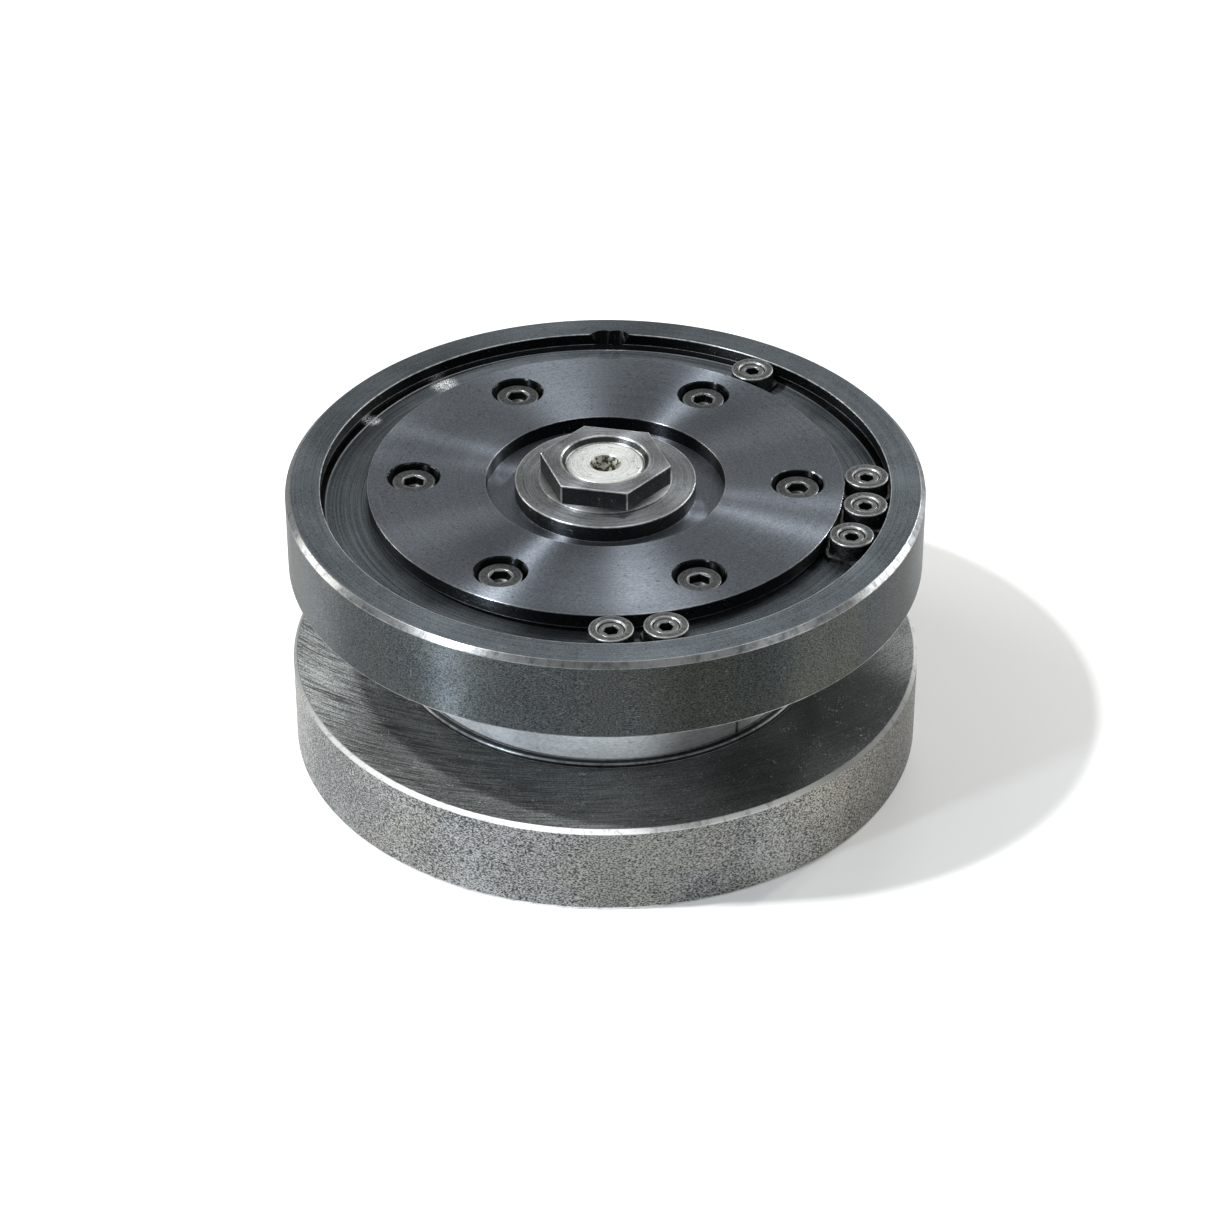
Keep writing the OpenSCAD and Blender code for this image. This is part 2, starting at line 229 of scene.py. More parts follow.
def cut(piece, cutters):
    """Takes each cutter's shape out of the piece, and removes the cutters."""
    for cutter in cutters:
        boolean = piece.modifiers.new("cut", "BOOLEAN")
        boolean.solver = "EXACT"
        boolean.operation = "DIFFERENCE"
        boolean.object = cutter
    bpy.context.view_layer.update()
    solved = piece.evaluated_get(bpy.context.evaluated_depsgraph_get())
    made = bpy.data.meshes.new_from_object(solved)
    piece.modifiers.clear()
    piece.data = made
    for cutter in cutters:
        bpy.data.objects.remove(cutter)
    return piece


def finish_piece(piece, body, material, nodes):
    """Smooths the shading, gives the material, ties the piece to its body, and hides the CAD nodes it
    replaces.
    """
    mesh = piece.data
    mesh.polygons.foreach_set("use_smooth", [True] * len(mesh.polygons))
    mesh.set_sharp_from_angle(angle=math.radians(SHARP_ANGLE))
    mesh.materials.clear()
    mesh.materials.append(material)
    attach(piece, body)
    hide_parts(*nodes)


# ---------------------------------------------------------------- materials

class Surface:
    """A metal's node tree, with coordinates in millimetres about the object's own axis."""

    def __init__(self, name):
        self.material = bpy.data.materials.new(name)
        self.material.use_nodes = True
        self.tree = self.material.node_tree
        self.shader = self.tree.nodes["Principled BSDF"]
        source = self.node("ShaderNodeTexCoord")
        coordinates = source.outputs["Object"]
        self.mm = self.vector("SCALE", coordinates, scale=1 / MM)
        flat = self.vector("MULTIPLY", self.mm, (1, 1, 0))
        self.out = self.vector("NORMALIZE", flat)
        self.r = self.vector("LENGTH", flat, output="Value")
        parts = self.node("ShaderNodeSeparateXYZ")
        self.join(self.mm, parts.inputs[0])
        self.x, self.y, self.z = parts.outputs
        normal = self.node("ShaderNodeSeparateXYZ")
        self.join(source.outputs["Normal"], normal.inputs[0])
        self.facing = normal.outputs["Z"]     # 1 on a face that looks up, and 0 on an upright one

    def node(self, kind, **settings):
        """Adds a node with the given settings."""
        made = self.tree.nodes.new(kind)
        for key, value in settings.items():
            setattr(made, key, value)
        return made

    def join(self, source, socket):
        """Links a socket, or sets a number on it."""
        if isinstance(source, bpy.types.NodeSocket):
            self.tree.links.new(source, socket)
        else:
            socket.default_value = source

    def vector(self, operation, a, b=None, scale=None, output="Vector"):
        """One step of vector arithmetic."""
        made = self.node("ShaderNodeVectorMath", operation=operation)
        self.join(a, made.inputs[0])
        if b is not None:
            self.join(b, made.inputs[1])
        if scale is not None:
            self.join(scale, made.inputs["Scale"])
        return made.outputs[output]

    def math(self, operation, a, b=None, clamp=False):
        """One step of arithmetic."""
        made = self.node("ShaderNodeMath", operation=operation, use_clamp=clamp)
        self.join(a, made.inputs[0])
        if b is not None:
            self.join(b, made.inputs[1])
        return made.outputs[0]

    def times(self, a, b, clamp=False):
        """The product of two numbers."""
        return self.math("MULTIPLY", a, b, clamp)

    def plus(self, a, b, clamp=False):
        """The sum of two numbers."""
        return self.math("ADD", a, b, clamp)

    def larger(self, a, b):
        """The larger of two numbers."""
        return self.math("MAXIMUM", a, b)

    def centred(self, noise, strength):
        """A noise moved from about a half to about 0, at a strength."""
        return self.times(self.math("SUBTRACT", noise, 0.5), strength)

    def span(self, value, low, high, to_low=0.0, to_high=1.0):
        """Maps low..high smoothly onto to_low..to_high, and holds it beyond."""
        made = self.node("ShaderNodeMapRange", interpolation_type="SMOOTHSTEP")
        for socket, number in zip(made.inputs[:5], (value, low, high, to_low, to_high)):
            self.join(number, socket)
        return made.outputs[0]

    def combine(self, x, y, z):
        """A vector of three numbers."""
        made = self.node("ShaderNodeCombineXYZ")
        for socket, number in zip(made.inputs, (x, y, z)):
            self.join(number, socket)
        return made.outputs[0]

    def noise(self, coordinates, scale, detail=2.0, roughness=0.5, distortion=0.0):
        """A noise texture's value, mostly between 0.3 and 0.7."""
        made = self.node("ShaderNodeTexNoise")
        self.join(coordinates, made.inputs["Vector"])
        made.inputs["Scale"].default_value = scale
        made.inputs["Detail"].default_value = detail
        made.inputs["Roughness"].default_value = roughness
        made.inputs["Distortion"].default_value = distortion
        return made.outputs["Fac"]

    def mix(self, factor, a, b, blend="MIX"):
        """Blends two colours, each a socket or a tuple of red, green and blue."""
        made = self.node("ShaderNodeMix", data_type="RGBA", blend_type=blend)
        self.join(factor, made.inputs[0])
        self.join((*a, 1.0) if isinstance(a, tuple) else a, made.inputs[6])
        self.join((*b, 1.0) if isinstance(b, tuple) else b, made.inputs[7])
        return made.outputs[2]

    def shade(self, colour, factor):
        """A colour made darker or lighter by a factor."""
        return self.mix(1.0, colour, self.combine(factor, factor, factor), "MULTIPLY")

    def attribute(self, name):
        """A number that the mesh stores on its points."""
        return self.node("ShaderNodeAttribute", attribute_name=name).outputs["Fac"]

    def turned(self, sweep, pitch):
        """Coordinates that stretch a texture round the axis, as a lathe tool leaves it.
        Sweep is how many changes fit in a radian, and pitch how many in a millimetre."""
        across = self.times(self.plus(self.r, self.z), pitch)
        wide = self.vector("SCALE", self.out, scale=sweep)
        return self.vector("ADD", wide, self.combine(0.0, 0.0, across))

    def scratches(self):
        """Fine slanting scratches, in long arcs about one point, that fade towards the right."""
        centre = (-12.0, 88.0, 0.0)
        away = self.vector("MULTIPLY", self.vector("SUBTRACT", self.mm, centre), (1, 1, 0))
        across = self.times(self.vector("LENGTH", away, output="Value"), 2.4)
        along = self.vector("SCALE", self.vector("NORMALIZE", away), scale=9.0)
        arc = self.noise(self.vector("ADD", along, self.combine(0.0, 0.0, across)), 1.0, 3.0, 0.75)
        strength = self.span(self.x, -40, 30, 1.0, 0.3)
        return self.plus(self.centred(arc, strength), 0.5)

    def spot(self, radius, angle, size):
        """1 in the middle of a round spot on the metal, falling to 0 at its edge."""
        turn = math.radians(angle)
        middle = (radius * math.cos(turn), radius * math.sin(turn), 0.0)
        flat = self.vector("MULTIPLY", self.mm, (1, 1, 0))
        away = self.vector("LENGTH", self.vector("SUBTRACT", flat, middle), output="Value")
        return self.span(away, 0.3 * size, size, 1.0, 0.0)

    def patches(self, colour, spots):
        """A colour times a factor, which may be a tint, in (radius, angle, size, factor) spots of painted
        light and shade.
        """
        for radius, angle, size, factor in spots:
            tint = factor if isinstance(factor, tuple) else (factor, factor, factor)
            colour = self.mix(self.spot(radius, angle, size), colour, tint, "MULTIPLY")
        return colour

    def bump(self, height, strength, distance, normal=None):
        """A normal for fine relief, on top of another normal if one is given."""
        made = self.node("ShaderNodeBump")
        made.inputs["Strength"].default_value = strength
        made.inputs["Distance"].default_value = distance * MM
        self.join(height, made.inputs["Height"])
        if normal is not None:
            self.join(normal, made.inputs["Normal"])
        return made.outputs[0]


class Groove:
    """What shows down in the head's balance groove: coarser rings, painted shade that makes the
    upright faces inside the rim and the floor's outer edge nearly black and the floor darker in
    front, a painted highlight line on the floor beside that black edge, spots worn bright, and dust
    at the back."""

    def __init__(self, surface, rim_r):
        s = surface
        self.surface = s
        self.lips = (head_top - 2, head_top - 1)    # z from in the groove to on the lips
        self.rim = (rim_r - 1, rim_r)               # r from inside the rim to on it
        self.back = (30, 80)                        # y from in front to at the back
        gap_r = s.span(s.y, 35, 88, 87.5, 89.7)     # the painted black gap is narrower at the back
        self.into_gap = s.math("SUBTRACT", s.r, gap_r)
        self.low = s.span(s.z, head_top - 5, head_top - 4, 1.0, 0.0)    # 1 on the floor
        self.inner = s.span(s.r, *self.rim, 1.0, 0.0)                   # 1 inside the rim

    def coarser(self, rings):
        """Rings that are stronger in the groove than on the lips."""
        s = self.surface
        return s.times(rings, s.span(s.z, *self.lips, 2.4, 1.0))

    def floor(self, colour):
        """The floor's colour, with painted shade: darker in front, and nearly black in the gap."""
        s = self.surface
        # Painted shade: the floor nearly black at its outer edge
        gap = s.times(self.low, s.span(self.into_gap, 0.1, 0.5, 0.0, 0.92))
        colour = s.shade(colour, s.math("SUBTRACT", 1.0, gap))
        # Painted shade: the floor darker in front than at the back
        painted_floor_shade = s.span(s.y, *self.back, 0.72, 1.0)
        return s.shade(colour, s.span(s.z, *self.lips, painted_floor_shade, 1.0))

    def shaded_wall(self, colour):
        """The colour of upright faces, with painted shade: nearly black inside the rim."""
        s = self.surface
        return s.shade(colour, s.span(s.r, *self.rim, 0.12, 1.0))

    def bare_and_highlit(self, colour, worn):
        """The colour of worn metal, with a painted highlight that makes it brighter inside the rim."""
        return self.surface.mix(self.inner, colour, tuple(3.0 * c for c in worn))

    def rubbed_and_highlit(self, wear_and_highlight, fine, scuffs_and_glint):
        """How much the metal is worn: less inside the rim, but a painted highlight line and spots worn
        bright or painted as a glint show.
        """
        s = self.surface
        wear_and_highlight = s.times(wear_and_highlight, s.span(s.r, *self.rim, 0.45, 1.0))
        # A painted highlight: a thin bright line beside the black outer edge of the floor
        off_line = s.math("ABSOLUTE", self.into_gap)
        line = s.span(off_line, 0.12, 0.35, 1.0, 0.0)
        line = s.times(line, s.span(s.y, -20, 80, 0.12, 1.0))       # painted highlight, brighter towards the back
        line = s.times(line, s.span(s.x, 2, 14, 1.0, 0.3))          # painted highlight, fainter right of the notch
        wear_and_highlight = s.larger(wear_and_highlight, s.times(line, self.low))
        # Spots worn bright; on the head one of them is a painted glint
        for radius, angle, size in scuffs_and_glint:
            bright_spot = s.times(s.spot(radius, angle, size), s.span(fine, 0.44, 0.56))
            wear_and_highlight = s.larger(wear_and_highlight, s.times(bright_spot, self.low))
        return wear_and_highlight

    def dulled(self, metallic, wear_and_highlight):
        """How metallic the surface is: less where the groove is worn or carries the painted highlight
        line, or dusty at the back.
        """
        s = self.surface
        dusty = s.times(s.span(s.y, *self.back), s.times(self.low, 0.5))
        dull = s.larger(s.times(wear_and_highlight, 0.7), dusty)
        return s.math("SUBTRACT", metallic, s.times(dull, self.inner))


def steel(name, dark, light, side=None, worn=(0.55, 0.56, 0.56), roughness=0.36, spread=0.06,
          anisotropic=0.8, side_anisotropic=None, metallic=1.0, tint=0.8, rings=0.3, clouds=0.3,
          grit=0.4, grain=(30, 1.8), speck=0.25, edge=0.8, stain=0.0, scratched=0.0, ring_bump=0.12,
          grit_bump=0.25, dirty_r=0.0, groove_marks_and_shade_r=0.0, scuffs_and_glint=(), painted_light=(), side_painted_light=(), edge_painted_light=()):
    """Turned steel: rings left by the tool, a cloudy tone, grit and specks, and worn edges.
    Dark and light are the two ends of its tone, side is the same pair for its upright faces, on
    most steels darker than the top's as painted shade, and worn is its colour where it is worn
    through. Roughness varies by spread, anisotropic stretches highlights across the rings, and a
    tint below 1 dims the glancing ones. Grain is how many grains fit in a radian round the axis and
    in a millimetre across it. Each of the other numbers is how strongly one feature shows, from 0,
    not at all, to about 1; with scratches comes painted shade that darkens the top except at its
    far left and right. Inside dirty_r the metal is dirty, and inside the groove's radius it has the
    groove's marks with their painted shade and highlight line, and (radius, angle, size) spots worn
    bright or painted as a glint. The last three arguments are (radius, angle, size, factor) spots
    of painted light and shade, on the top, on the upright faces and on worn edges."""
    s = Surface(name)
    groove = Groove(s, groove_marks_and_shade_r) if groove_marks_and_shade_r else None
    ring = s.noise(s.turned(1.2, 2.4), 1.0, detail=3.0, roughness=0.72)
    cloud = s.noise(s.mm, 0.03, detail=5.0, roughness=0.6, distortion=0.5)
    fine = s.noise(s.turned(*grain), 1.0, detail=2.0, roughness=0.7)
    coarse = s.noise(s.mm, 0.35, detail=3.0, roughness=0.7)
    mottle = s.plus(fine, coarse)

    # The tone of the faces that look up
    gritty = s.centred(fine, 4.0 * grit)
    cloudy = s.centred(cloud, 3.0 * clouds)
    ringed = s.centred(ring, 2.4 * rings)
    if groove:
        ringed = groove.coarser(ringed)
    ring_tone = s.plus(s.times(gritty, 0.6), s.plus(s.plus(cloudy, ringed), 0.5), clamp=True)
    colour = s.mix(ring_tone, dark, light)
    if scratched:
        scratch = s.span(s.scratches(), 0.36, 0.62, 1.0 - scratched, 1.0 + 1.2 * scratched)
        shade_under_head = s.span(s.math("ABSOLUTE", s.x), 66, 95, 0.40, 1.0)      # painted shade under the head: darker, but not at far left or right
        colour = s.shade(s.shade(colour, scratch), shade_under_head)
    # Painted light and shade, in spots on the top
    colour = s.patches(colour, painted_light)
    if groove:
        colour = groove.floor(colour)

    # The tone of the upright faces, on most steels darker than the top's as painted shade, with yellowish
    # stains
    up = s.span(s.math("ABSOLUTE", s.facing), 0.75, 0.95)
    if side:
        grain_tone = s.plus(s.plus(gritty, cloudy), 0.5, clamp=True)
        shaded_side_colour = s.mix(grain_tone, *side)
        blotch = s.noise(s.mm, 0.018, detail=4.0, roughness=0.65)
        stained = s.span(blotch, 0.42, 0.62, 0.0, stain)
        shaded_side_colour = s.mix(stained, shaded_side_colour, (1.06, 0.98, 0.80), "MULTIPLY")
        # Painted light and shade, in spots on the upright faces
        shaded_side_colour = s.patches(shaded_side_colour, side_painted_light)
        if groove:
            shaded_side_colour = groove.shaded_wall(shaded_side_colour)
        colour = s.mix(up, shaded_side_colour, colour)

    # Bright specks, dark pits, and worn edges, some with painted highlights and shade
    colour = s.mix(s.times(s.span(mottle, 1.18, 1.34), speck), colour, worn)
    pit = s.times(s.span(mottle, 0.84, 0.70), 2 * speck, clamp=True)
    colour = s.mix(pit, colour, tuple(0.3 * c for c in dark))
    wear_and_highlight = s.times(s.attribute("wear"), s.span(coarse, 0.30, 0.60, 0.45, 1.15))
    wear_and_highlight = s.times(wear_and_highlight, edge, clamp=True)
    # The worn colour, with painted highlights and shade in spots on the edges
    bare_and_highlit = s.patches(worn, edge_painted_light)
    if groove:
        bare_and_highlit = groove.bare_and_highlit(bare_and_highlit, worn)
        wear_and_highlight = groove.rubbed_and_highlit(wear_and_highlight, fine, scuffs_and_glint)
        metallic = groove.dulled(metallic, wear_and_highlight)
    colour = s.mix(wear_and_highlight, colour, bare_and_highlit)
    if dirty_r:
        crumbs = s.span(s.noise(s.mm, 0.8, detail=3.0), 0.42, 0.60)
        dirt = s.mix(crumbs, (0.03, 0.03, 0.02), (0.42, 0.42, 0.36))
        colour = s.mix(s.span(s.r, dirty_r - 0.5, dirty_r), dirt, colour)

    inputs = s.shader.inputs
    s.join(colour, inputs["Base Color"])
    s.join(s.span(cloud, 0.3, 0.7, roughness - spread, roughness + spread), inputs["Roughness"])
    s.join(metallic, inputs["Metallic"])
    inputs["Specular Tint"].default_value = (tint, tint, tint, 1.0)
    if anisotropic:
        amount = s.span(up, 0, 1, side_anisotropic, anisotropic) if side_anisotropic else anisotropic
        s.join(amount, inputs["Anisotropic"])
        inputs["Anisotropic Rotation"].default_value = 0.25
        tangent = s.node("ShaderNodeTangent", direction_type="RADIAL", axis="Z")
        s.join(tangent.outputs[0], inputs["Tangent"])
    ring_normal = s.bump(ring, ring_bump, 0.03)
    s.join(s.bump(fine, grit_bump, 0.03, ring_normal), inputs["Normal"])
    return s.material


# Painted on the head: shade on its upright faces and the rim's back, light and shade in spots on its
# side, highlights on its chamfer, and a glint in the groove
head_steel = steel("head_black_oxide", (0.085, 0.102, 0.118), (0.255, 0.288, 0.315),
                   side=((0.022, 0.026, 0.030), (0.100, 0.112, 0.120)), worn=(0.32, 0.33, 0.34),
                   roughness=0.37, anisotropic=0.3, side_anisotropic=0.95, tint=0.8, rings=0.6,
                   speck=0.25, stain=0.5, grit=0.95, grain=(160, 3.2), groove_marks_and_shade_r=95, ring_bump=0.25,
                   scuffs_and_glint=((86, 128, 6), (88, 149, 4)),
                   painted_light=((93, 70, 60, 0.72), (93, 137, 60, 0.66)),
                   side_painted_light=((100, -152, 22, 1.3), (100, -70, 28, (0.66, 0.67, 0.58)),
                               (100, -48, 22, (1.45, 1.42, 1.20)), (100, -14, 20, 1.2)),
                   edge_painted_light=((98, -58, 16, 1.8), (98, -28, 26, 2.2), (98, -92, 18, 0.75)))
# Painted on the plate: shade that makes its upright faces nearly black, and light and shade in spots on
# its top
plate_steel = steel("plate_black_oxide", (0.125, 0.143, 0.168), (0.255, 0.280, 0.318),
                    side=((0.008, 0.009, 0.010), (0.025, 0.028, 0.030)), worn=(0.48, 0.49, 0.51),
                    roughness=0.30, spread=0.01, anisotropic=1.0, tint=0.8, grit=0.9, grain=(70, 1.8),
                    speck=0.25, rings=0.4, clouds=0.15, edge=0.45, ring_bump=0.06, grit_bump=0.25,
                    painted_light=((60, 158, 22, 0.74), (50, -120, 34, 0.72), (58, -91, 24, 1.5),
                           (48, -70, 18, 0.85), (52, 61, 30, 0.76)))
nut_steel = steel("nut_oxide", (0.110, 0.120, 0.128), (0.400, 0.418, 0.430), roughness=0.40,
                  side=((0.014, 0.016, 0.018), (0.060, 0.066, 0.070)), speck=0.3, rings=0.8, edge=1.0,
                  grain=(24, 2.4))
# Painted on the base: light and shade in spots on its top, side and edges, and shade under the head
base_steel = steel("base_ground_steel", (0.10, 0.108, 0.107), (0.32, 0.335, 0.328),
                   side=((0.018, 0.019, 0.020), (0.340, 0.345, 0.340)), worn=(0.58, 0.59, 0.58),
                   roughness=0.55, anisotropic=0.4, metallic=0.35, grit=1.45, grain=(135, 2.6),
                   speck=0.5, clouds=0.4, scratched=0.7, stain=0.5, edge=1.1, grit_bump=0.8,
                   painted_light=((91, -163, 24, 1.1), (76, -138, 26, 0.72), (84, -92, 26, 1.3),
                          (86, -55, 26, 0.5), (86, -25, 40, 0.20), (98, -5, 18, 1.4)),
                   side_painted_light=((100, -146, 28, 0.82), (100, -109, 26, 1.05),
                               (100, -82, 26, (0.88, 0.91, 0.92)), (100, -53, 26, 1.5),
                               (100, -24, 24, 0.72)),
                   edge_painted_light=((99, 178, 100, 0.32), (99, -96, 34, 1.6), (99, -32, 52, 0.35)))
# Painted on the hub: shade in two spots round its front
hub_steel = steel("hub_bright_steel", (0.56, 0.58, 0.59), (0.95, 0.97, 0.98), roughness=0.48, speck=0.2,
                  metallic=0.25, grit=0.7, clouds=0.6, tint=1.0, worn=(0.85, 0.85, 0.85), grain=(50, 1.5),
                  painted_light=((65, -124, 30, 0.64), (65, -58, 30, 0.36)))
ring_steel = steel("ring_dull_steel", (0.020, 0.022, 0.024), (0.08, 0.084, 0.088), roughness=0.42)
spindle_steel = steel("spindle_bright_steel", (0.46, 0.47, 0.46), (0.92, 0.94, 0.92), roughness=0.42,
                      anisotropic=0.4, metallic=0.7, rings=0.8, grit=0.5, grain=(14, 2.0), speck=0.4,
                      dirty_r=5.0)
screw_steel = steel("screw_grey_steel", (0.040, 0.043, 0.045), (0.17, 0.175, 0.178), roughness=0.42,
                    side=((0.015, 0.015, 0.015), (0.05, 0.05, 0.05)), worn=(0.36, 0.37, 0.37),
                    anisotropic=0.2, grit=1.0, grain=(6, 2.4), speck=0.8, edge=0.5)
weight_steel = steel("weight_grey_steel", (0.060, 0.063, 0.064), (0.22, 0.225, 0.225), roughness=0.42,
                     side=((0.018, 0.019, 0.020), (0.085, 0.088, 0.088)), worn=(0.42, 0.43, 0.43),
                     anisotropic=0.3, grit=1.1, grain=(6, 2.4), speck=0.9, edge=0.7)
set_screw_steel = steel("set_screw_steel", (0.06, 0.063, 0.065), (0.20, 0.205, 0.205), roughness=0.38,
                        side=((0.012, 0.012, 0.013), (0.04, 0.04, 0.042)), worn=(0.34, 0.35, 0.35),
                        anisotropic=0.2, grit=0.7, grain=(6, 2.4), edge=0.5)
cover_steel = steel("cover_steel", (0.22, 0.23, 0.23), (0.38, 0.39, 0.39), roughness=0.40)
bearing_steel = steel("bearing_steel", (0.50, 0.50, 0.51), (0.64, 0.64, 0.65), roughness=0.22,
                      speck=0.05, grit=0.1)
ball_steel = steel("ball_steel", (0.70, 0.70, 0.71), (0.80, 0.80, 0.81), roughness=0.10, spread=0.03,
                   anisotropic=0.0, speck=0.02, grit=0.05, ring_bump=0.02, grit_bump=0.02)
cage_brass = steel("cage_brass", (0.46, 0.31, 0.11), (0.66, 0.47, 0.19), worn=(0.85, 0.66, 0.32),
                   roughness=0.32)
housing_iron = steel("housing_iron", (0.09, 0.095, 0.10), (0.19, 0.195, 0.20), roughness=0.5, speck=0.4)


# ---------------------------------------------------------------- base

def make_base():
    """The lower disc, with the pocket for the hub in its top and the cover's seat below."""
    bore_r = 38.05
    seat_r = cover_r + FIT
    pocket_r = ring_r + FIT
    outline = [
        (bore_r, cover_top), (seat_r, cover_top), (seat_r, 0), (base_r - BASE_CHAMFER / 2, 0),
        (base_r, BASE_CHAMFER / 2), (base_r, base_top - BASE_CHAMFER),
        (base_r - BASE_CHAMFER, base_top), (pocket_r, base_top), (pocket_r, pocket_z),
        (bore_r, pocket_z)
    ]
    base = lathe("base_disc_turned", rounded(outline))
    finish_piece(base, "base", base_steel, ["base_disc"])


def make_dust_ring():
    """The thin ring round the foot of the hub."""
    inner_r = 65.4
    outline = [(inner_r, pocket_z), (ring_r, pocket_z), (ring_r, ring_top), (inner_r, ring_top)]
    ring = lathe("dust_ring_turned", rounded(outline, 0.3))
    finish_piece(ring, "base", ring_steel, ["dust_ring"])


# ---------------------------------------------------------------- wheel head

def make_hub():
    """The bright drum between the discs, with a short slot in its skirt."""
    skirt_r = 52.0                          # inside of the drum, at its foot
    well_r = 40.0                           # and at its upper end
    spigot_r = SPIGOT_R - FIT
    well_top, cone_top, cone_z = head_bottom - 1, head_bottom - 3, head_bottom - 11
    web_bore_r = 27.0
    bore_r, flare = 18.0, 1.4               # the bore is a taper, wider at its lower end
    taper_z = hub_top - 14.3
    outline = [
        (skirt_r, skirt_z), (hub_r, skirt_z), (hub_r, head_bottom), (spigot_r, head_bottom),
        (spigot_r, hub_top), (bore_r, hub_top), (bore_r + flare, taper_z), (web_bore_r, taper_z),
        (web_bore_r, well_top), (well_r, well_top), (well_r, cone_top), (skirt_r, cone_z)
    ]
    slot_w, slot_h, slot_depth, slot_angle = 1.2, 8.0, 1.0, -51.0
    slot = block("slot", (-slot_depth, 1), (-slot_w / 2, slot_w / 2), (skirt_z - 1, skirt_z + slot_h))
    place(slot, hub_r, slot_angle)
    hub = cut(lathe("hub_turned", rounded(outline)), [slot])
    finish_piece(hub, "head", hub_steel, ["hub"])


def plunge_cutter():
    """Two overlapping cuts that slant down and inwards through the rim's lip."""
    plunge_r, plunge_offset, tilt, reach_r = 5.0, 2.05, math.radians(29), 91.5
    depth, height = 4.8, 8.0
    mid_r = reach_r - plunge_r / math.cos(tilt)
    outline = circles_outline([(0, -plunge_offset), (0, plunge_offset)], plunge_r, SMALL_SEGMENTS)
    cusp = [k for k, (x, y) in enumerate(outline) if x > 0 and abs(y) < 0.3]
    cutter = prism("plunge", outline, -depth, height, worn=cusp)
    slant = Matrix.Translation((mid_r * MM, 0, head_top * MM)) @ Matrix.Rotation(tilt, 4, "Y")
    cutter.matrix_world = Matrix.Rotation(math.radians(NOTCH_ANGLE), 4, "Z") @ slant
    return cutter


def scribe_cutter():
    """A scribed line on the groove's floor, in line with the notch."""
    width, depth, length = 0.5, 0.15, 6.0
    from_lip = 5.0
    across = (-width / 2, width / 2)
    cutter = block("scribe", (0, length), across, (floor_z - depth, floor_z + 1), worn=range(4))
    return place(cutter, mouth_r1 - from_lip, NOTCH_ANGLE)


def make_flange():
    """The upper disc with the balance groove."""
    lip_z = head_top - RIM_LIP
    step_z = plate_top - PLATE_LIP - 0.1
    undercut_r0, undercut_r1 = mouth_r0 - 1.8, mouth_r1 + 1.2
    outline = [
        (SPIGOT_R, head_bottom), (head_r - CORNER, head_bottom), (head_r, head_bottom + CORNER),
        (head_r, head_top - HEAD_CHAMFER), (head_r - HEAD_CHAMFER, head_top), (mouth_r1, head_top),
        (mouth_r1, lip_z), (undercut_r1, lip_z), (undercut_r1, floor_z), (undercut_r0, floor_z),
        (undercut_r0, step_z), (PLATE_BODY_R + FIT, step_z), (PLATE_BODY_R + FIT, web_z),
        (SPIGOT_R, web_z)
    ]
    flange = lathe("balance_flange_turned", rounded(outline))
    cut(flange, [plunge_cutter(), scribe_cutter()])
    finish_piece(flange, "head", head_steel, ["balance_flange"])


def make_plate():
    """The clamp plate with six counterbores."""
    lip_z = plate_top - PLATE_LIP
    bore_r = THREAD_R + 0.6
    outline = [
        (bore_r, web_z), (PLATE_BODY_R, web_z), (PLATE_BODY_R, lip_z), (mouth_r0, lip_z),
        (mouth_r0, plate_top), (RECESS_R, plate_top), (RECESS_R, recess_z), (bore_r, recess_z)
    ]
    plate = lathe("clamp_plate_turned", rounded(outline))
    counterbore_r, chamfer, depth = 8.05, 0.4, 9.8
    seat_z, mouth_z = plate_top - depth, plate_top - chamfer
    fade, brink, past = 0.2, 0.05, 1.0      # below the chamfer, at its upper edge, above the plate
    bore = [
        (0, seat_z, 0, 0), (counterbore_r, seat_z, 0, 0), (counterbore_r, mouth_z - fade, 0, 0),
        (counterbore_r, mouth_z, 1, 0), (counterbore_r + chamfer - brink, plate_top - brink, 1, 0),
        (counterbore_r + chamfer + past, plate_top + past, 0, 0), (0, plate_top + past, 0, 0)
    ]
    cutters = [place(lathe("counterbore", bore, SMALL_SEGMENTS), CLAMP_PCR, CLAMP_ANGLE + 60 * k)
               for k in range(6)]
    bite = prism("bite", circles_outline([(0, 0)], BITE_R, SMALL_SEGMENTS), lip_z - 1, plate_top + 2)
    cut(plate, cutters + [place(bite, GROOVE_MID_R, NOTCH_ANGLE)])
    finish_piece(plate, "head", plate_steel, ["clamp_plate"])


def socket_outline(top, width, depth):
    """The end of a screw's outline: a chamfered mouth, a hexagonal socket and a drilled point."""
    corner_r = width / math.sqrt(3)
    return [(corner_r + 0.3, top), (corner_r, top - 0.35, 6), (corner_r, top - depth, 6),
            (0.46 * width, top - depth), (0, top - depth - 0.25 * width)]


def make_clamp_screws():
    """Six socket cap screws in the counterbores."""
    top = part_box("clamp_screws")[1].z / MM
    cap_h, cap_r, shank_r, length = 8.0, 6.8, 4.0, 16.0
    socket, depth = 6.0, 2.9
    seat = top - cap_h
    outline = [(0, seat - length), (shank_r, seat - length), (shank_r, seat), (cap_r, seat),
               (cap_r, top), *socket_outline(top, socket, depth)]
    for k, turn in enumerate(SOCKET_TURNS):
        screw = lathe(f"clamp_screw_{k + 1}", rounded(outline, 0.4), SMALL_SEGMENTS)
        place(screw, CLAMP_PCR, CLAMP_ANGLE + 60 * k, turn)
        finish_piece(screw, "head", screw_steel, ["clamp_screws"])


